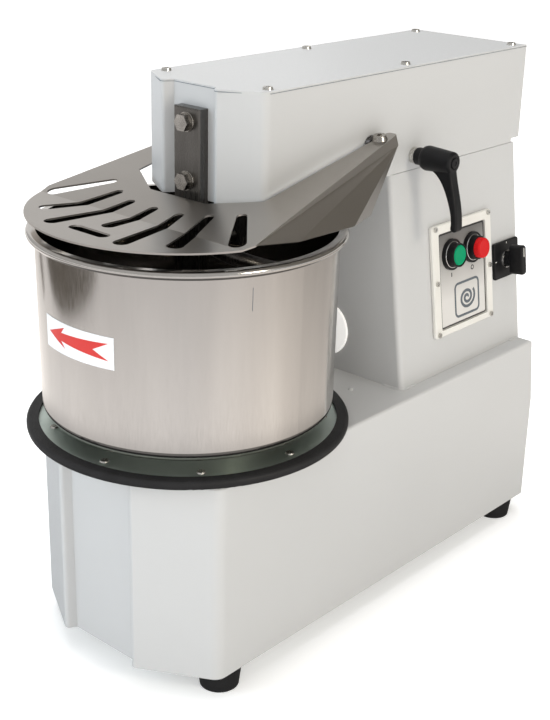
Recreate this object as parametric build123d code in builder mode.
from build123d import *
import os
from math import cos, radians, sin, tan

# Tilt-head spiral dough mixer. Millimetres, +Z up, front towards -Y.
# The origin is on the floor, under the centre of the outer box.

# ---- driving dimensions ----
SHEET = 2.0
BOWL_Y = -138.3
SPIRAL_Y = -75.3
DRIVE_Y = 130.0

BASE_LOW = 20.0
BASE_TOP = 202.4
BASE_HALF = 111.5
BASE_REAR = 265.0
BASE_REAR_TOP = 254.5
BASE_SLANT_Z = 134.4

COL_FRONT = 50.4
COL_REAR = 254.5
COL_HALF_LOW = 94.7
COL_TOP = 405.0
LEAN = radians(7.69)

HEAD_LOW = 405.5
HEAD_TOP = 499.0
HEAD_HALF = 67.3
HEAD_REAR = 263.5
LID = 1.5

PANEL_Y = 154.0
PANEL_Z = 293.0
BUTTON_Z = 315.7
START_Y = 135.5
STOP_Y = 170.8
SWITCH_Y = 231.65
SWITCH_Z = 291.0
GLAND_X = 88.0
GLAND_Z = 60.0

HINGE_Y = 256.5
HINGE_Z = 405.2
GUARD_Y = 17.5
GUARD_Z = 438.0
LEVER_Y = 83.5
LEVER_Z = 418.9

RIM_R = 135.0
RIM_Z = 385.0
WALL_R = 128.0
FLOOR_Z = 222.0
BOWL_CORNER = 10.0
BOWL_SHEET = 1.2

SHAFT_R = 10.0
RUNNING = 0.05
BIG_SHAFT_R = 12.5
CHAIN_Z = 100.0
HEAD_CHAIN_Z = 467.0
MOTOR_Y = 206.0
RIVET_CIRCLE = 119.0

# ---- fastener places ----
FOOT_SPOTS = [(-92, -192.5), (92, -192.5), (-92, 239.5), (92, 239.5)]
REAR_SCREWS = [(-58, 223), (58, 223), (-47, 363), (47, 363)]
BASE_SCREWS = [(-89, 37), (49, 37), (-89, 121), (49, 121)]
PANEL_SCREWS = [(-44.5, 51.9), (45, 51.9), (-44.5, -1), (45, -1), (-44.5, -51.9), (45, -51.9)]
LID_SCREWS = [(-58, -107), (58, -107), (-58, 76), (58, 76), (-58, 250), (58, 250)]
BAR_BOLTS = [(0, 470.3), (0, 421.5)]


# ---- helpers ----
def base_block(inset, low, high):
    """Block with the plan and side outline of the base, drawn in by inset."""
    with BuildPart() as block:
        with BuildSketch(Plane.YZ):
            with BuildLine():
                Polyline(
                    (-300, low),
                    (-300, high),
                    (BASE_REAR_TOP - inset, high),
                    (BASE_REAR - inset, BASE_SLANT_Z),
                    (BASE_REAR - inset, low),
                    close=True,
                )
            make_face()
        extrude(amount=BASE_HALF + 5, both=True)
        with BuildSketch(Plane.XY.offset(low)) as plan:
            with BuildLine():
                Polyline(
                    (-BASE_HALF, 280),
                    (-BASE_HALF, -212.8),
                    (-43.2, -251.4),
                    (-38, -242.5),
                    (38, -242.5),
                    (43.2, -251.4),
                    (BASE_HALF, -212.8),
                    (BASE_HALF, 280),
                    close=True,
                )
            make_face()
            fillet([v for v in plan.vertices() if v.Y < -250], radius=4)
            fillet([v for v in plan.vertices() if abs(v.Y + 212.8) < 1], radius=12)
            if inset > 0:
                offset(amount=-inset)
        extrude(amount=high - low, mode=Mode.INTERSECT)
    return block.part


def head_block(inset, low, high):
    """Block with the plan outline of the head, drawn in by inset."""
    with BuildPart() as block:
        with BuildSketch(Plane.XY.offset(low)) as plan:
            with BuildLine():
                Polyline(
                    (-HEAD_HALF, HEAD_REAR),
                    (-HEAD_HALF, -117.5),
                    (-30, -139.5),
                    (-24, -130.7),
                    (24, -130.7),
                    (30, -139.5),
                    (HEAD_HALF, -117.5),
                    (HEAD_HALF, HEAD_REAR),
                    close=True,
                )
            make_face()
            fillet([v for v in plan.vertices() if v.Y < -138], radius=3.5)
            fillet([v for v in plan.vertices() if abs(v.Y + 117.5) < 1], radius=9)
            if inset > 0:
                offset(amount=-inset)
        extrude(amount=high - low)
    return block.part


def column_block(inset, front, rear, low, high):
    """Block with the tapered front outline of the column, drawn in by inset."""
    half_low = COL_HALF_LOW - (low - BASE_TOP) * tan(LEAN) - inset
    half_high = COL_HALF_LOW - (high - BASE_TOP) * tan(LEAN) - inset
    with BuildPart() as block:
        with BuildSketch(Plane.XZ.offset(-rear)):
            with BuildLine():
                Polyline(
                    (-half_low, low),
                    (half_low, low),
                    (half_high, high),
                    (-half_high, high),
                    close=True,
                )
            make_face()
        extrude(amount=rear - front)
        front_edges = block.edges().filter_by_position(Axis.Y, front - 0.1, front + 0.1)
        fillet([e for e in front_edges if abs(e.center().X) > 40], radius=5)
    return block.part


def side_plane(y, z, lift=0):
    """Plane on the column's right face: local x to the rear, local y up the slope."""
    half = COL_HALF_LOW - (z - BASE_TOP) * tan(LEAN)
    return Plane(origin=(half, y, z), x_dir=(0, 1, 0), z_dir=(cos(LEAN), 0, sin(LEAN))).offset(lift)


def across(x, y, z):
    """Plane whose normal is +X, with its origin at x, y, z."""
    return Plane(origin=(x, y, z), x_dir=(0, 1, 0), z_dir=(1, 0, 0))


def upright(y):
    """Plane through a vertical axis at y: local x is the radius, local y is the height."""
    return Plane(origin=(0, y, 0), x_dir=(1, 0, 0), z_dir=(0, -1, 0))


def ring(y, low, high, outer, inner):
    """Round collar on a vertical axis at y."""
    with BuildPart() as collar:
        with BuildSketch(Plane.XY.offset(low)):
            with Locations((0, y)):
                Circle(outer)
                Circle(inner, mode=Mode.SUBTRACT)
        extrude(amount=high - low)
    return collar.part


def sprocket(y, low, teeth, pitch_d, roller, thick, hub_r, hub_low, hub_high, bore):
    """Toothed wheel with a hub on a vertical axis at y."""
    with BuildPart() as wheel:
        with BuildSketch(Plane.XY.offset(low)):
            with Locations((0, y)):
                Circle(pitch_d / 2 + roller * 0.36)
                with PolarLocations(pitch_d / 2, teeth):
                    Circle(roller * 0.5, mode=Mode.SUBTRACT)
        extrude(amount=thick)
        with BuildSketch(Plane.XY.offset(hub_low)):
            with Locations((0, y)):
                Circle(hub_r)
        extrude(amount=hub_high - hub_low)
        with BuildSketch(Plane.XY.offset(min(low, hub_low) - 1)):
            with Locations((0, y)):
                Circle(bore)
        extrude(amount=100, mode=Mode.SUBTRACT)
    return wheel.part


def chain_loop(y_a, r_a, y_b, r_b, low, high, thick):
    """Closed band around two wheels on the centre line."""
    with BuildPart() as band:
        with BuildSketch(Plane.XY.offset(low)):
            with Locations((0, y_a)):
                Circle(r_a + thick)
            with Locations((0, y_b)):
                Circle(r_b + thick)
            make_hull()
        extrude(amount=high - low)
        with BuildSketch(Plane.XY.offset(low)):
            with Locations((0, y_a)):
                Circle(r_a)
            with Locations((0, y_b)):
                Circle(r_b)
            make_hull()
        extrude(amount=high - low, mode=Mode.SUBTRACT)
    return band.part


def facet(points, shift):
    """Flat sheet piece through three corners, swept by shift so that neighbours share a side."""
    face = Face(Wire.make_polygon([Vector(*p) for p in points], close=True))
    return Solid.extrude(face, Vector(*shift))


nodes = {}

# ---- base ----
with BuildPart() as base_shell:
    add(base_block(0, BASE_LOW, BASE_TOP))
    fillet([e for e in base_shell.edges() if abs(e.center().Z - BASE_TOP) < 0.1], radius=2.5)
    add(base_block(SHEET, BASE_LOW, BASE_TOP - SHEET), mode=Mode.SUBTRACT)
    # window for the recessed front panel
    with BuildSketch(Plane.XZ.offset(235)):
        with Locations((0, 111)):
            Rectangle(74, 174)
    extrude(amount=10, mode=Mode.SUBTRACT)
    # turntable shaft, and the opening under the column
    with BuildSketch(Plane.XY.offset(BASE_TOP - 5)):
        with Locations((0, BOWL_Y)):
            Circle(20)
        with Locations((0, 156)):
            Rectangle(160, 178)
    extrude(amount=10, mode=Mode.SUBTRACT)
    # openings behind the rear cover and for the cable gland
    with BuildSketch(Plane.XZ.offset(-270)):
        with Locations((-20, 79)):
            Rectangle(130, 76)
        with Locations((GLAND_X, GLAND_Z)):
            Circle(8)
    extrude(amount=10, mode=Mode.SUBTRACT)
nodes["base_shell"] = base_shell

with BuildPart() as base_front_panel:
    with BuildSketch(Plane.XZ.offset(240.5)):
        with Locations((0, 111)):
            Rectangle(74, 174)
    extrude(amount=2)
nodes["base_front_panel"] = base_front_panel

with BuildPart() as base_rear_cover:
    with BuildSketch(Plane.XZ.offset(-BASE_REAR - 1.5)):
        with Locations((-20, 79)):
            RectangleRounded(150, 96, 6)
            with GridLocations(60, 9, 2, 6):
                SlotOverall(46, 3.5, mode=Mode.SUBTRACT)
            with GridLocations(138, 84, 2, 2):
                Circle(2, mode=Mode.SUBTRACT)
    extrude(amount=1.5)
nodes["base_rear_cover"] = base_rear_cover

with BuildPart() as bottom_plate:
    add(base_block(SHEET, BASE_LOW, BASE_LOW + 2))
    with BuildSketch(Plane.XY.offset(BASE_LOW)):
        with Locations((0, -60)):
            with GridLocations(0, 12, 1, 8):
                SlotOverall(90, 4)
        with Locations(FOOT_SPOTS):
            Circle(4)
    extrude(amount=2, mode=Mode.SUBTRACT)
nodes["bottom_plate"] = bottom_plate

with BuildPart() as rubber_feet:
    with BuildSketch(Plane.XY.offset(BASE_LOW)):
        with Locations(FOOT_SPOTS):
            Circle(19.7)
    extrude(amount=-BASE_LOW, taper=7)
    with BuildSketch():
        with Locations(FOOT_SPOTS):
            Circle(9)
    extrude(amount=12, mode=Mode.SUBTRACT)
    with BuildSketch():
        with Locations(FOOT_SPOTS):
            Circle(4)
    extrude(amount=BASE_LOW, mode=Mode.SUBTRACT)
nodes["rubber_feet"] = rubber_feet

with BuildPart() as foot_bolts:
    with BuildSketch(Plane.XY.offset(7)):
        with Locations(FOOT_SPOTS):
            RegularPolygon(6.5, 6, major_radius=False)
    extrude(amount=5)
    with BuildSketch(Plane.XY.offset(12)):
        with Locations(FOOT_SPOTS):
            Circle(4)
    extrude(amount=20)
    with BuildSketch(Plane.XY.offset(22)):
        with Locations(FOOT_SPOTS):
            RegularPolygon(6.5, 6, major_radius=False)
    extrude(amount=6)
nodes["foot_bolts"] = foot_bolts

with BuildPart() as cable_gland:
    with BuildSketch(Plane.XZ.offset(-BASE_REAR)):
        with Locations((GLAND_X, GLAND_Z)):
            RegularPolygon(11, 6, major_radius=False)
    extrude(amount=-6)
    with BuildSketch(Plane.XZ.offset(-BASE_REAR - 6)):
        with Locations((GLAND_X, GLAND_Z)):
            Circle(9)
    extrude(amount=-8.9)
    with BuildSketch(Plane.XZ.offset(-BASE_REAR)):
        with Locations((GLAND_X, GLAND_Z)):
            Circle(8)
    extrude(amount=10)
    with BuildSketch(Plane.XZ.offset(-BASE_REAR - 20)):
        with Locations((GLAND_X, GLAND_Z)):
            Circle(4)
    extrude(amount=40, mode=Mode.SUBTRACT)
    fillet([e for e in cable_gland.edges() if e.center().Y > BASE_REAR + 14 and e.length > 40], radius=2)
nodes["cable_gland"] = cable_gland

# ---- column ----
with BuildPart() as column_shell:
    add(column_block(0, COL_FRONT, COL_REAR, BASE_TOP, COL_TOP))
    column_hollow = column_block(SHEET, COL_FRONT + SHEET, COL_REAR - SHEET, BASE_TOP - 1, COL_TOP + 1)
    add(column_hollow, mode=Mode.SUBTRACT)
    # rear opening behind the service cover
    with BuildSketch(Plane.XZ.offset(-COL_REAR - 2)):
        with Locations((0, 290)):
            Rectangle(90, 130)
    extrude(amount=6, mode=Mode.SUBTRACT)
    # notch for the hinge knuckles
    with BuildSketch(Plane.XZ.offset(-COL_REAR - 2)):
        with Locations((0, 403.5)):
            Rectangle(116, 6)
    extrude(amount=6, mode=Mode.SUBTRACT)
    # holes behind the two buttons and the rotary switch
    for y, z in ((START_Y, BUTTON_Z), (STOP_Y, BUTTON_Z), (SWITCH_Y, SWITCH_Z)):
        with BuildSketch(side_plane(y, z, 3)):
            Circle(11.2)
        extrude(amount=-8, mode=Mode.SUBTRACT)
nodes["column_shell"] = column_shell

with BuildPart() as column_rear_cover:
    with BuildSketch(Plane.XZ.offset(-COL_REAR - 1.5)):
        with BuildLine():
            Polyline((-66, 216), (66, 216), (52, 370), (-52, 370), close=True)
        make_face()
        with Locations((0, 330)):
            with GridLocations(0, 10, 1, 6):
                SlotOverall(70, 4, mode=Mode.SUBTRACT)
        with Locations(REAR_SCREWS):
            Circle(2, mode=Mode.SUBTRACT)
    extrude(amount=1.5)
nodes["column_rear_cover"] = column_rear_cover

with BuildPart() as cover_screws:
    with BuildSketch(Plane.XZ.offset(-COL_REAR - 1.5)):
        with Locations(REAR_SCREWS):
            Circle(4)
    extrude(amount=-2.2)
    with BuildSketch(Plane.XZ.offset(-BASE_REAR - 1.5)):
        with Locations(BASE_SCREWS):
            Circle(4)
    extrude(amount=-2.2)
    with BuildSketch(Plane.XZ.offset(-COL_REAR - 1.5)):
        with Locations(REAR_SCREWS):
            Circle(2)
    extrude(amount=1.5)
    with BuildSketch(Plane.XZ.offset(-BASE_REAR - 1.5)):
        with Locations(BASE_SCREWS):
            Circle(2)
    extrude(amount=1.5)
nodes["cover_screws"] = cover_screws

with BuildPart() as column_top_plate:
    add(column_block(SHEET, COL_FRONT + SHEET, COL_REAR - SHEET, 398, 401))
    with BuildSketch(Plane.XY.offset(397)):
        with Locations((0, DRIVE_Y)):
            Circle(30)
        with Locations((0, 205)):
            RectangleRounded(60, 40, 5)
    extrude(amount=6, mode=Mode.SUBTRACT)
nodes["column_top_plate"] = column_top_plate

with BuildPart() as front_plug:
    with BuildSketch(Plane.XZ.offset(-COL_FRONT)):
        with Locations((0, 242)):
            Circle(27)
    extrude(amount=2)
    fillet(front_plug.edges().sort_by(Axis.Y)[0], radius=1.2)
nodes["front_plug"] = front_plug

with BuildPart() as clamp_tab:
    # open-topped fork that the clamp stud drops into when the head comes down
    with BuildSketch(across(52, 0, 0)):
        with BuildLine():
            Polyline(
                (70, 401),
                (70, 432),
                (79, 432),
                (79, 414.4),
                (88, 414.4),
                (88, 419),
                (91.5, 432),
                (98, 432),
                (98, 401),
                close=True,
            )
        make_face()
    extrude(amount=6)
    with BuildSketch(Plane.XY.offset(401)):
        with Locations((45, 84)):
            Rectangle(26, 28)
    extrude(amount=3)
nodes["clamp_tab"] = clamp_tab

KNUCKLES_FIXED = [(-55, -35), (-11, 11), (35, 55)]
KNUCKLES_HEAD = [(-34.5, -11.5), (11.5, 34.5)]

with BuildPart() as hinge_bracket:
    for start, end in KNUCKLES_FIXED:
        with BuildSketch(across(start, 0, 0)):
            with Locations((HINGE_Y, HINGE_Z)):
                Circle(4)
            with Locations((HINGE_Y - 1, 398)):
                Rectangle(2, 12)
        extrude(amount=end - start)
    with BuildSketch(Plane.XZ.offset(-COL_REAR)):
        with Locations((0, 386)):
            Rectangle(110, 20)
    extrude(amount=-2)
    # pin peened at one end
    with BuildSketch(across(-55, HINGE_Y, HINGE_Z)):
        Circle(2.5)
    extrude(amount=110)
    with BuildSketch(across(-56.5, HINGE_Y, HINGE_Z)):
        Circle(3.6)
    extrude(amount=1.5)
nodes["hinge_bracket"] = hinge_bracket

# ---- drive inside the base and column ----
with BuildPart() as turntable_housing:
    add(ring(BOWL_Y, 122, BASE_TOP - SHEET, 31, 23.5))
    add(ring(BOWL_Y, BASE_TOP - SHEET - 4, BASE_TOP - SHEET, 52, 23.5))
    add(ring(BOWL_Y, 136, 184, 25, 19))
nodes["turntable_housing"] = turntable_housing

with BuildPart() as reducer_housing:
    with BuildSketch(Plane.XY.offset(BASE_LOW + 2)):
        with Locations((0, 168)):
            RectangleRounded(116, 160, 10)
    extrude(amount=70)
    fillet(reducer_housing.faces().sort_by(Axis.Z)[-1].edges(), radius=4)
    with BuildSketch(Plane.XY.offset(40)):
        with Locations((0, DRIVE_Y)):
            Circle(21)
    extrude(amount=70, mode=Mode.SUBTRACT)
nodes["reducer_housing"] = reducer_housing

with BuildPart() as base_bearings:
    add(ring(BOWL_Y, 123, 135, 23.5, BIG_SHAFT_R + RUNNING))
    add(ring(BOWL_Y, 184.5, 196.5, 23.5, BIG_SHAFT_R + RUNNING))
    add(ring(DRIVE_Y, 76, 88, 21, SHAFT_R + RUNNING))
    add(ring(DRIVE_Y, 364, 376, 21, SHAFT_R + RUNNING))
nodes["base_bearings"] = base_bearings

with BuildPart() as shaft_bridge:
    add(column_block(SHEET, COL_FRONT + SHEET, COL_REAR - SHEET, 360, 364))
    with BuildSketch(Plane.XY.offset(360)):
        with Locations((0, DRIVE_Y)):
            Circle(15)
        with Locations((0, 205)):
            RectangleRounded(70, 50, 6)
        with Locations((0, 78)):
            RectangleRounded(70, 24, 6)
    extrude(amount=4, mode=Mode.SUBTRACT)
    add(ring(DRIVE_Y, 364, 378, 27, 21))
nodes["shaft_bridge"] = shaft_bridge

with BuildPart() as motor_housing:
    with BuildSketch(Plane.XY.offset(92)):
        with Locations((0, MOTOR_Y)):
            Circle(36)
    extrude(amount=150)
    with BuildSketch(Plane.XY.offset(112)):
        with Locations((0, MOTOR_Y)):
            with PolarLocations(36.5, 24):
                Rectangle(5, 2)
    extrude(amount=110)
    with BuildSketch(Plane.XY.offset(92)):
        with Locations((0, MOTOR_Y)):
            Rectangle(84, 76)
    extrude(amount=8)
nodes["motor_housing"] = motor_housing

with BuildPart() as motor_fan_cover:
    with BuildSketch(Plane.XY.offset(242)):
        with Locations((0, MOTOR_Y)):
            Circle(38)
    extrude(amount=26)
    fillet(motor_fan_cover.faces().sort_by(Axis.Z)[-1].edges(), radius=6)
    with BuildSketch(Plane.XY.offset(264)):
        with Locations((0, MOTOR_Y)):
            with PolarLocations(20, 12):
                SlotOverall(14, 3.5)
    extrude(amount=6, mode=Mode.SUBTRACT)
nodes["motor_fan_cover"] = motor_fan_cover

with BuildPart() as base_chain:
    add(chain_loop(BOWL_Y, 94.0, DRIVE_Y, 20.0, CHAIN_Z, CHAIN_Z + 6, 3.5))
nodes["base_chain"] = base_chain

# ---- control panel and rotary switch ----
with BuildPart() as panel_frame:
    with BuildSketch(side_plane(PANEL_Y, PANEL_Z)):
        RectangleRounded(100, 110, 3)
        with Locations((0, -1.3)):
            RectangleRounded(79, 95, 2, mode=Mode.SUBTRACT)
    extrude(amount=4)
    chamfer(panel_frame.faces().sort_by(Axis.X)[-1].outer_wire().edges(), length=0.8)
nodes["panel_frame"] = panel_frame

with BuildPart() as panel_plate:
    with BuildSketch(side_plane(PANEL_Y, PANEL_Z)):
        with Locations((0, -1.3)):
            RectangleRounded(79, 95, 2)
    extrude(amount=1.4)
    with BuildSketch(side_plane(PANEL_Y, PANEL_Z, 1.4)):
        with Locations((0, -1.3)):
            RectangleRounded(75, 91, 2)
    extrude(amount=1.2)
    with BuildSketch(side_plane(START_Y, BUTTON_Z)):
        with Locations((0, 0), (STOP_Y - START_Y, 0)):
            Circle(11.2)
    extrude(amount=5, mode=Mode.SUBTRACT)
nodes["panel_plate"] = panel_plate

with BuildPart() as panel_screws:
    with BuildSketch(side_plane(PANEL_Y, PANEL_Z, 4)):
        with Locations(PANEL_SCREWS):
            Circle(2.5)
    extrude(amount=1.5)
    with BuildSketch(side_plane(PANEL_Y, PANEL_Z, 4.9)):
        with Locations(PANEL_SCREWS):
            Rectangle(3.2, 0.7)
            Rectangle(0.7, 3.2)
    extrude(amount=2, mode=Mode.SUBTRACT)
nodes["panel_screws"] = panel_screws

with BuildPart() as button_bezels:
    for y, sleeve in ((START_Y, 13.4), (STOP_Y, 12.0)):
        with BuildSketch(side_plane(y, BUTTON_Z, 2.6)):
            Circle(15.2)
            Circle(10.4, mode=Mode.SUBTRACT)
        extrude(amount=3)
        with BuildSketch(side_plane(y, BUTTON_Z, 5.6)):
            Circle(11.5)
            Circle(10.4, mode=Mode.SUBTRACT)
        extrude(amount=sleeve - 5.6)
        with BuildSketch(side_plane(y, BUTTON_Z, 2.6)):
            Circle(11.1)
            Circle(10.4, mode=Mode.SUBTRACT)
        extrude(amount=-12)
nodes["button_bezels"] = button_bezels

with BuildPart() as start_cap:
    with BuildSketch(side_plane(START_Y, BUTTON_Z, -4)):
        Circle(10)
    extrude(amount=18)
    fillet(start_cap.edges().sort_by(Axis.X)[-1], radius=1.5)
nodes["start_cap"] = start_cap

with BuildPart() as stop_cap:
    with BuildSketch(side_plane(STOP_Y, BUTTON_Z, -4)):
        Circle(10)
    extrude(amount=22)
    fillet(stop_cap.edges().sort_by(Axis.X)[-1], radius=1.5)
nodes["stop_cap"] = stop_cap

with BuildPart() as switch_plate:
    with BuildSketch(side_plane(SWITCH_Y, SWITCH_Z)):
        RectangleRounded(44, 37.5, 2.5)
        Circle(7, mode=Mode.SUBTRACT)
    extrude(amount=3.5)
    fillet(switch_plate.faces().sort_by(Axis.X)[-1].outer_wire().edges(), radius=1)
nodes["switch_plate"] = switch_plate

with BuildPart() as switch_bodies:
    with BuildSketch(side_plane(START_Y, BUTTON_Z, -9.4)):
        with Locations((0, 0), (STOP_Y - START_Y, 0)):
            Rectangle(28, 34)
    extrude(amount=-26)
    with BuildSketch(side_plane(SWITCH_Y, SWITCH_Z, -SHEET)):
        Rectangle(34, 36)
        Circle(7, mode=Mode.SUBTRACT)
    extrude(amount=-38)
nodes["switch_bodies"] = switch_bodies

with BuildPart() as rotary_knob:
    with BuildSketch(side_plane(SWITCH_Y, SWITCH_Z, 4)):
        Circle(7.6)
    extrude(amount=6)
    with BuildSketch(side_plane(SWITCH_Y, SWITCH_Z, 9.6)):
        RectangleRounded(9.2, 30, 3.4)
    extrude(amount=14.4)
    fillet(rotary_knob.faces().sort_by(Axis.X)[-1].edges(), radius=1.6)
    with BuildSketch(side_plane(SWITCH_Y, SWITCH_Z, 5)):
        Circle(6.6)
    extrude(amount=-20)
nodes["rotary_knob"] = rotary_knob

# ---- turntable and bowl ----
with BuildPart() as turntable_plate:
    with BuildSketch(Plane.XY.offset(209)):
        with Locations((0, BOWL_Y)):
            Circle(137)
            with PolarLocations(RIVET_CIRCLE, 9):
                Circle(3, mode=Mode.SUBTRACT)
    extrude(amount=2.5)
nodes["turntable_plate"] = turntable_plate

with BuildPart() as turntable_trim:
    with BuildSketch(upright(BOWL_Y)) as trim_section:
        with BuildLine():
            Polyline((131, 206.1), (141.6, 206.1), (141.6, 213.9), (131, 213.9), close=True)
        make_face()
        fillet([v for v in trim_section.vertices() if v.X > 140], radius=3)
        with Locations((133, 210.25)):
            Rectangle(8, 2.5, mode=Mode.SUBTRACT)
    revolve(axis=Axis((0, BOWL_Y, 0), (0, 0, 1)))
nodes["turntable_trim"] = turntable_trim

with BuildPart() as plate_rivets:
    with BuildSketch(Plane.XY.offset(207)):
        with Locations((0, BOWL_Y)):
            with PolarLocations(RIVET_CIRCLE, 9):
                Circle(3)
    extrude(amount=4.5)
    with BuildSketch(Plane.XY.offset(211.5)):
        with Locations((0, BOWL_Y)):
            with PolarLocations(RIVET_CIRCLE, 9):
                Circle(4)
    extrude(amount=1, taper=35)
nodes["plate_rivets"] = plate_rivets

with BuildPart() as turntable_shaft:
    with BuildSketch(Plane.XY.offset(92)):
        with Locations((0, BOWL_Y)):
            Circle(BIG_SHAFT_R)
    extrude(amount=113)
    with BuildSketch(Plane.XY.offset(204.2)):
        with Locations((0, BOWL_Y)):
            Circle(45)
    extrude(amount=4.8)
nodes["turntable_shaft"] = turntable_shaft

with BuildPart() as bowl_sprocket:
    add(sprocket(BOWL_Y, CHAIN_Z, 60, 182.0, 6.35, 5.5, 26, CHAIN_Z, CHAIN_Z + 18, BIG_SHAFT_R))
    with BuildSketch(Plane.XY.offset(CHAIN_Z)):
        with Locations((0, BOWL_Y)):
            with PolarLocations(58, 6):
                Circle(20)
    extrude(amount=6, mode=Mode.SUBTRACT)
nodes["bowl_sprocket"] = bowl_sprocket

with BuildPart() as bowl:
    with BuildSketch(upright(BOWL_Y)):
        with BuildLine():
            Line((0, FLOOR_Z), (WALL_R - 1 - BOWL_CORNER, FLOOR_Z))
            RadiusArc(
                (WALL_R - 1 - BOWL_CORNER, FLOOR_Z),
                (WALL_R - 1, FLOOR_Z + BOWL_CORNER),
                -BOWL_CORNER,
            )
            Line((WALL_R - 1, FLOOR_Z + BOWL_CORNER), (WALL_R, RIM_Z))
            Line((WALL_R, RIM_Z), (WALL_R - BOWL_SHEET, RIM_Z))
            Line((WALL_R - BOWL_SHEET, RIM_Z), (WALL_R - 1 - BOWL_SHEET, FLOOR_Z + BOWL_CORNER))
            RadiusArc(
                (WALL_R - 1 - BOWL_SHEET, FLOOR_Z + BOWL_CORNER),
                (WALL_R - 1 - BOWL_CORNER, FLOOR_Z + BOWL_SHEET),
                BOWL_CORNER - BOWL_SHEET,
            )
            Line((WALL_R - 1 - BOWL_CORNER, FLOOR_Z + BOWL_SHEET), (0, FLOOR_Z + BOWL_SHEET))
            Line((0, FLOOR_Z + BOWL_SHEET), (0, FLOOR_Z))
        make_face()
        # rolled rim
        with Locations((RIM_R - 3.5, RIM_Z - 3.5)):
            Circle(3.5)
        with Locations((RIM_R - 5.8, RIM_Z - 0.6)):
            Rectangle(4.8, 1.2)
    revolve(axis=Axis((0, BOWL_Y, 0), (0, 0, 1)))
    # foot ring welded under the floor
    add(ring(BOWL_Y, 211.5, FLOOR_Z + 0.5, 95, 91))
    add(ring(BOWL_Y, 211.5, 214, 95, 84))
nodes["bowl"] = bowl

# ---- main shaft ----
with BuildPart() as main_shaft:
    with BuildSketch(Plane.XY.offset(62)):
        with Locations((0, DRIVE_Y)):
            Circle(SHAFT_R)
    extrude(amount=326)
    # dog coupling at the seam with the head
    with BuildSketch(Plane.XY.offset(380)):
        with Locations((0, DRIVE_Y)):
            Circle(24)
    extrude(amount=16)
    with BuildSketch(Plane.XY.offset(396)):
        with Locations((-15, DRIVE_Y), (15, DRIVE_Y)):
            Rectangle(12, 12)
    extrude(amount=8)
nodes["main_shaft"] = main_shaft

with BuildPart() as drive_sprocket:
    add(sprocket(DRIVE_Y, CHAIN_Z, 11, 33.8, 6.35, 5.5, 13.5, CHAIN_Z, CHAIN_Z + 16, SHAFT_R))
nodes["drive_sprocket"] = drive_sprocket

# ---- head ----
# space inside the head, with its floor stepped up over the hinge
with BuildPart() as head_hollow:
    add(head_block(SHEET, HEAD_LOW + SHEET, HEAD_TOP + 1))
    with BuildSketch(across(-80, 0, 0)):
        with Locations((256, 408)):
            Rectangle(20, 10)
    extrude(amount=160, mode=Mode.SUBTRACT)

with BuildPart() as head_shell:
    add(head_block(0, HEAD_LOW, HEAD_TOP))
    # raised rear edge over the hinge
    with BuildSketch(across(-80, 0, 0)):
        with Locations((260, 405.4)):
            Rectangle(20, 8)
    extrude(amount=160, mode=Mode.SUBTRACT)
    with BuildSketch(across(-58, 0, 0)):
        with Locations((255.2, 405.8)):
            Rectangle(13.6, 12)
    extrude(amount=116, mode=Mode.SUBTRACT)
    add(head_hollow.part, mode=Mode.SUBTRACT)
    # openings in the floor for the spiral shaft, the coupling and the clamp fork
    with BuildSketch(Plane.XY.offset(HEAD_LOW - 1)):
        with Locations((0, SPIRAL_Y)):
            Circle(24)
        with Locations((0, DRIVE_Y)):
            Circle(28)
        with Locations((48, 84)):
            Rectangle(28, 38)
    extrude(amount=4, mode=Mode.SUBTRACT)
    # holes for the guard shaft, the clamp stud and the bar bolts
    with BuildSketch(across(-80, GUARD_Y, GUARD_Z)):
        Circle(7.5)
    extrude(amount=160, mode=Mode.SUBTRACT)
    with BuildSketch(across(60, LEVER_Y, LEVER_Z)):
        Circle(4.5)
    extrude(amount=20, mode=Mode.SUBTRACT)
    with BuildSketch(Plane.XZ.offset(120)):
        with Locations(BAR_BOLTS):
            Circle(4)
    extrude(amount=15, mode=Mode.SUBTRACT)
nodes["head_shell"] = head_shell

with BuildPart() as head_lid:
    add(head_block(0, HEAD_TOP, HEAD_TOP + LID))
    with BuildSketch(Plane.XY.offset(HEAD_TOP)):
        with Locations(LID_SCREWS):
            Circle(2)
    extrude(amount=LID, mode=Mode.SUBTRACT)
    # folded lip that locates the lid inside the head
    add(head_block(SHEET + 0.1, HEAD_TOP - 8, HEAD_TOP))
    add(head_block(SHEET + 1.6, HEAD_TOP - 8, HEAD_TOP), mode=Mode.SUBTRACT)
nodes["head_lid"] = head_lid

with BuildPart() as lid_screws:
    with BuildSketch(Plane.XY.offset(HEAD_TOP + LID)):
        with Locations(LID_SCREWS):
            Circle(4.5)
    extrude(amount=2.2, taper=15)
    with BuildSketch(Plane.XY.offset(HEAD_TOP + LID + 1)):
        with Locations(LID_SCREWS):
            Rectangle(5, 0.9)
            Rectangle(0.9, 5)
    extrude(amount=2, mode=Mode.SUBTRACT)
    with BuildSketch(Plane.XY.offset(HEAD_TOP - 6)):
        with Locations(LID_SCREWS):
            Circle(2)
    extrude(amount=6 + LID)
nodes["lid_screws"] = lid_screws

with BuildPart() as breaker_bar:
    with BuildSketch(Plane.XY.offset(245)):
        with Locations((0, -135.7)):
            Rectangle(30, 10)
    extrude(amount=237)
    chamfer(breaker_bar.faces().sort_by(Axis.Y)[0].edges(), length=1.2)
    with BuildSketch(Plane.XZ.offset(125)):
        with Locations(BAR_BOLTS):
            Circle(4)
    extrude(amount=20, mode=Mode.SUBTRACT)
nodes["breaker_bar"] = breaker_bar

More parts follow.
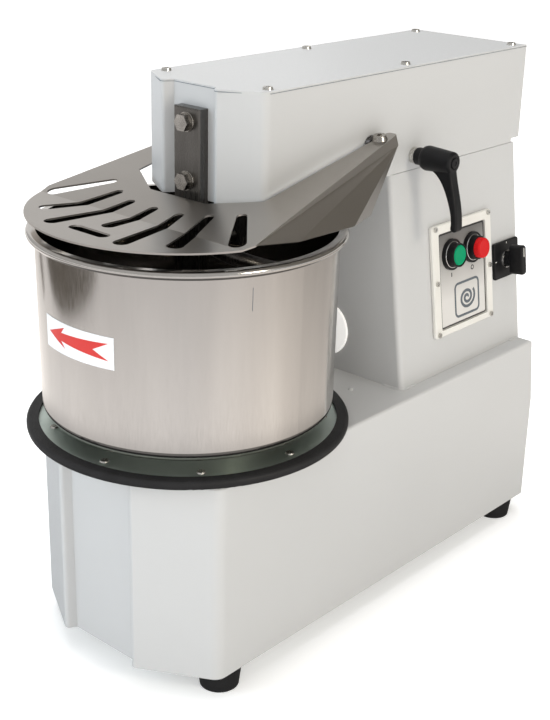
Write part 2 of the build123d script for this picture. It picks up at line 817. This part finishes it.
with BuildPart() as bar_bolts:
    with BuildSketch(Plane.XZ.offset(140.7)):
        with Locations(BAR_BOLTS):
            Circle(8)
    extrude(amount=1.6)
    with BuildSketch(Plane.XZ.offset(142.3)):
        with Locations(BAR_BOLTS):
            RegularPolygon(6.5, 6, major_radius=False)
    extrude(amount=5.3)
    with BuildSketch(Plane.XZ.offset(123.2)):
        with Locations(BAR_BOLTS):
            Circle(4)
    extrude(amount=17.5)
    with BuildSketch(Plane.XZ.offset(124.5)):
        with Locations(BAR_BOLTS):
            RegularPolygon(6.5, 6, major_radius=False)
    extrude(amount=4.2)
nodes["bar_bolts"] = bar_bolts

with BuildPart() as hinge_leaf:
    for start, end in KNUCKLES_HEAD:
        with BuildSketch(across(start, 0, 0)):
            with Locations((HINGE_Y, HINGE_Z)):
                Circle(4)
            with Locations((HINGE_Y, 410.4)):
                Rectangle(5, 2.8)
            with Locations((HINGE_Y, 408)):
                Rectangle(3, 4)
        extrude(amount=end - start)
    with BuildSketch(across(-60, HINGE_Y, HINGE_Z)):
        Circle(2.5 + RUNNING)
    extrude(amount=120, mode=Mode.SUBTRACT)
nodes["hinge_leaf"] = hinge_leaf

with BuildPart() as spiral_housing:
    add(ring(SPIRAL_Y, HEAD_LOW + SHEET, 455, 29, 21))
    add(ring(SPIRAL_Y, HEAD_LOW + SHEET, HEAD_LOW + SHEET + 4, 46, 21))
    add(ring(SPIRAL_Y, 424, 440, 25, 17))
nodes["spiral_housing"] = spiral_housing

with BuildPart() as drive_housing:
    add(ring(DRIVE_Y, 424, 455, 29, 21))
    with BuildSketch(Plane.XY.offset(424)):
        with Locations((0, DRIVE_Y)):
            Rectangle(126, 60)
            Circle(21, mode=Mode.SUBTRACT)
    extrude(amount=4)
    with BuildSketch(Plane.XY.offset(HEAD_LOW + SHEET)):
        with Locations((-61.5, DRIVE_Y), (61.5, DRIVE_Y)):
            Rectangle(3, 60)
    extrude(amount=424 - HEAD_LOW - SHEET)
nodes["drive_housing"] = drive_housing

with BuildPart() as head_bearings:
    add(ring(SPIRAL_Y, 412, 424, 21, SHAFT_R + RUNNING))
    add(ring(SPIRAL_Y, 440, 452, 21, SHAFT_R + RUNNING))
    add(ring(DRIVE_Y, 425, 437, 21, SHAFT_R + RUNNING))
    add(ring(DRIVE_Y, 441, 453, 21, SHAFT_R + RUNNING))
nodes["head_bearings"] = head_bearings

with BuildPart() as head_chain:
    add(chain_loop(SPIRAL_Y, 42.4, DRIVE_Y, 42.4, HEAD_CHAIN_Z, HEAD_CHAIN_Z + 8, 4.5))
nodes["head_chain"] = head_chain

with BuildPart() as guard_bushes:
    for sign in (-1, 1):
        with BuildSketch(across(sign * 64, GUARD_Y, GUARD_Z)):
            Circle(7.5)
            Circle(6 + RUNNING, mode=Mode.SUBTRACT)
        extrude(amount=sign * 3.3)
        with BuildSketch(across(sign * 67.3, GUARD_Y, GUARD_Z)):
            Circle(9)
            Circle(6 + RUNNING, mode=Mode.SUBTRACT)
        extrude(amount=sign * 0.9)
nodes["guard_bushes"] = guard_bushes

# ---- head drive and spiral ----
with BuildPart() as head_drive_shaft:
    with BuildSketch(Plane.XY.offset(419)):
        with Locations((0, DRIVE_Y)):
            Circle(SHAFT_R)
    extrude(amount=64)
    # upper half of the dog coupling
    with BuildSketch(Plane.XY.offset(407)):
        with Locations((0, DRIVE_Y)):
            Circle(24)
    extrude(amount=12)
    with BuildSketch(Plane.XY.offset(398)):
        with Locations((0, DRIVE_Y - 15), (0, DRIVE_Y + 15)):
            Rectangle(12, 12)
    extrude(amount=9)
nodes["head_drive_shaft"] = head_drive_shaft

with BuildPart() as head_drive_sprocket:
    add(sprocket(DRIVE_Y, HEAD_CHAIN_Z, 19, 77.2, 8.5, 7, 20, HEAD_CHAIN_Z - 8, HEAD_CHAIN_Z + 7, SHAFT_R))
nodes["head_drive_sprocket"] = head_drive_sprocket

with BuildPart() as spiral_shaft:
    with BuildSketch(Plane.XY.offset(384)):
        with Locations((0, SPIRAL_Y)):
            Circle(SHAFT_R)
    extrude(amount=99)
    with BuildSketch(Plane.XY.offset(384)):
        with Locations((0, SPIRAL_Y)):
            Circle(17)
    extrude(amount=18)
nodes["spiral_shaft"] = spiral_shaft

with BuildPart() as spiral_sprocket:
    add(sprocket(SPIRAL_Y, HEAD_CHAIN_Z, 19, 77.2, 8.5, 7, 20, HEAD_CHAIN_Z - 8, HEAD_CHAIN_Z + 7, SHAFT_R))
nodes["spiral_sprocket"] = spiral_sprocket

SPIRAL_R = 43.0
SPIRAL_ROD = 7.0
SPIRAL_LOW = 239.5
SPIRAL_HEIGHT = 125.0
SPIRAL_PITCH = 100.0

with BuildPart() as spiral_hook:
    with BuildLine() as hook_path:
        Helix(
            SPIRAL_PITCH,
            SPIRAL_HEIGHT,
            SPIRAL_R,
            center=(0, SPIRAL_Y, SPIRAL_LOW),
            lefthand=True,
        )
    with BuildSketch(Plane(origin=hook_path.line @ 0, z_dir=hook_path.line % 0)):
        Circle(SPIRAL_ROD)
    sweep(path=hook_path.line, is_frenet=True)
    with Locations(hook_path.line @ 0, hook_path.line @ 1):
        Sphere(SPIRAL_ROD)
    # arm from the top of the spiral to the shaft
    with BuildSketch(Plane(origin=(0, SPIRAL_Y, SPIRAL_LOW + SPIRAL_HEIGHT), z_dir=(0, -1, 0))):
        Circle(SPIRAL_ROD)
    extrude(amount=SPIRAL_R)
    with BuildSketch(Plane.XY.offset(356)):
        with Locations((0, SPIRAL_Y)):
            Circle(13)
    extrude(amount=28)
nodes["spiral_hook"] = spiral_hook

# ---- bowl guard ----
FOLD_Y = -199.0
BRIM_Z = 400.3
GUARD_SHEET = 1.5
SLOPE = 0.2045
ARM_END = 34.5


def guard_z(y):
    """Height of the sloping sheet's top face."""
    return 410.0 + SLOPE * (y + 151.2)


def slot_strip(points, half_a, half_b):
    """Tapered slot outline through points, from half width half_a to half_b."""
    steps = len(points) - 1
    for index in range(steps):
        (xa, ya), (xb, yb) = points[index], points[index + 1]
        length = ((xb - xa) ** 2 + (yb - ya) ** 2) ** 0.5
        nx, ny = (yb - ya) / length, -(xb - xa) / length
        wa = half_a + (half_b - half_a) * index / steps
        wb = half_a + (half_b - half_a) * (index + 1) / steps
        Polygon(
            (xa + nx * wa, ya + ny * wa),
            (xb + nx * wb, yb + ny * wb),
            (xb - nx * wb, yb - ny * wb),
            (xa - nx * wa, ya - ny * wa),
            align=None,
        )
        with Locations((xa, ya)):
            Circle(wa)
        with Locations((xb, yb)):
            Circle(wb)


CORNER = (121.5, -187.6, 402.2)
SKIRT_1 = (134.6, -152.6, 400.9)
SKIRT_2 = (137.2, -88.0, 400.9)
SKIRT_3 = (126.7, -53.8, 400.9)
TIP_LOW = (86.5, 33.5, 439.0)
TIP_TOP = (84.0, 33.0, guard_z(33.0) - 0.4)

with BuildPart() as guard_sheet:
    with BuildSketch(Plane.YZ):
        with BuildLine():
            Polyline(
                (-280, BRIM_Z),
                (FOLD_Y, BRIM_Z),
                (ARM_END, guard_z(ARM_END)),
                (ARM_END, guard_z(ARM_END) - GUARD_SHEET),
                (FOLD_Y, BRIM_Z - GUARD_SHEET),
                (-280, BRIM_Z - GUARD_SHEET),
                close=True,
            )
        make_face()
    extrude(amount=125, both=True)
    with BuildSketch(Plane.XY.offset(390)):
        with BuildLine():
            ThreePointArc((-117.5, FOLD_Y), (0, -275.6), (117.5, FOLD_Y))
            Polyline(
                (117.5, FOLD_Y),
                (121.5, -187.6),
                (84, 33),
                (82, ARM_END),
                (75.5, ARM_END),
                (73.7, 32),
                (73.7, -125.4),
                (32.1, -151.2),
                (-32.1, -151.2),
                (-73.7, -125.4),
                (-73.7, 32),
                (-75.5, ARM_END),
                (-82, ARM_END),
                (-84, 33),
                (-121.5, -187.6),
                (-117.5, FOLD_Y),
            )
        make_face()
    extrude(amount=80, mode=Mode.INTERSECT)
    # slots of the grille
    with BuildSketch(Plane.XY.offset(390)):
        for sign in (-1, 1):
            slot_strip([(sign * 106.5, -192), (sign * 76, -154.5)], 7.2, 4.3)
            slot_strip([(sign * 75.2, -227), (sign * 62, -197), (sign * 53.3, -168.5)], 6.8, 4.4)
            slot_strip([(sign * 40.7, -249.7), (sign * 32, -199), (sign * 28.5, -178)], 6.8, 4.4)
        slot_strip([(0, -226), (0, -198), (0, -179)], 6.2, 4.4)
        with Locations((1, -247.5)):
            SlotOverall(43, 11.5)
    extrude(amount=80, mode=Mode.SUBTRACT)
    # folded side skirts
    for sign in (-1, 1):
        corners = [
            [(sign * p[0], p[1], p[2]) for p in group]
            for group in (
                (CORNER, TIP_TOP, TIP_LOW),
                (CORNER, TIP_LOW, SKIRT_1),
                (SKIRT_1, TIP_LOW, SKIRT_2),
                (SKIRT_2, TIP_LOW, SKIRT_3),
            )
        ]
        for group in corners:
            add(facet(group, (-sign * 1.3, 0.3, -0.9)))
nodes["guard_sheet"] = guard_sheet

with BuildPart() as guard_shaft:
    # end blocks under the arms of the guard
    with BuildSketch(across(69, 0, 0)):
        with BuildLine():
            Polyline(
                (7.5, 431.5),
                (27.5, 431.5),
                (27.5, guard_z(27.5) - GUARD_SHEET * 1.2),
                (7.5, guard_z(7.5) - GUARD_SHEET * 1.2),
                close=True,
            )
        make_face()
    extrude(amount=15)
    mirror(about=Plane.YZ)
    with BuildSketch(across(-70, GUARD_Y, GUARD_Z)):
        Circle(6)
    extrude(amount=140)
nodes["guard_shaft"] = guard_shaft

with BuildPart() as guard_screws:
    for sign in (-1, 1):
        slope_plane = Plane(
            origin=(sign * 77.5, 18, guard_z(18) + 0.1),
            x_dir=(1, 0, 0),
            z_dir=(0, -SLOPE, 1),
        )
        with BuildSketch(slope_plane):
            Circle(7)
        extrude(amount=4, taper=20)
        with BuildSketch(slope_plane.offset(2)):
            RegularPolygon(2.5, 6)
        extrude(amount=4, mode=Mode.SUBTRACT)
nodes["guard_screws"] = guard_screws

# ---- clamp lever ----
with BuildPart() as lever_stud:
    with BuildSketch(across(44, LEVER_Y, LEVER_Z)):
        Circle(4)
    extrude(amount=23.6)
    with BuildSketch(across(44, LEVER_Y, LEVER_Z)):
        Circle(8)
    extrude(amount=7.4)
nodes["lever_stud"] = lever_stud

with BuildPart() as lever_insert:
    with BuildSketch(across(67.6, LEVER_Y, LEVER_Z)):
        Circle(7.4)
    extrude(amount=4.4)
    with BuildSketch(across(72, LEVER_Y, LEVER_Z)):
        Circle(6)
    extrude(amount=25)
    with BuildSketch(across(97, LEVER_Y, LEVER_Z)):
        Circle(2.5)
    extrude(amount=13)
    with BuildSketch(across(109.5, LEVER_Y, LEVER_Z)):
        Circle(4.6)
        RegularPolygon(2, 6, mode=Mode.SUBTRACT)
    extrude(amount=3)
nodes["lever_insert"] = lever_insert

ARM_HALF = 5.6

with BuildPart() as lever_handle:
    # curved arm with flat sides, wide where it leaves the hub
    with BuildSketch(Plane.XZ.offset(-LEVER_Y)):
        with BuildLine():
            outer_side = Spline((112, 417), (114.3, 405), (119.7, 385), (122.9, 367), (123.2, 360))
            tip = ThreePointArc(outer_side @ 1, (119.9, 357), (116.2, 360))
            inner_side = Spline(tip @ 1, (115.6, 371), (111.4, 384), (105.5, 396), (97, 406), (85, 411))
            Polyline(inner_side @ 1, (85, 417), outer_side @ 0)
        make_face()
    extrude(amount=ARM_HALF, both=True)
    flat_sides = lever_handle.faces().filter_by(Axis.Y)
    fillet([e for e in flat_sides.edges() if e.center().Z < 410], radius=2)
    # hub, thicker beside the neck
    with BuildSketch(Plane.XZ.offset(-LEVER_Y)):
        with BuildLine():
            Polyline(
                (72.4, LEVER_Z),
                (72.4, LEVER_Z + 8),
                (79.5, LEVER_Z + 8),
                (81, LEVER_Z + 10.6),
                (84, LEVER_Z + 11.5),
                (111, LEVER_Z + 9.9),
                (113, LEVER_Z + 8.4),
                (113, LEVER_Z),
                close=True,
            )
        make_face()
    revolve(axis=Axis((0, LEVER_Y, LEVER_Z), (1, 0, 0)))
    for start, end, radius in ((72, 101, 6.3), (100, 110, 3), (104, 130, 5.2)):
        with BuildSketch(across(start, LEVER_Y, LEVER_Z)):
            Circle(radius)
        extrude(amount=end - start, mode=Mode.SUBTRACT)
nodes["lever_handle"] = lever_handle

# ---- export ----
os.makedirs("parts", exist_ok=True)
for name, built in nodes.items():
    built.part.label = name
    export_step(built.part, "parts/" + name + ".step")
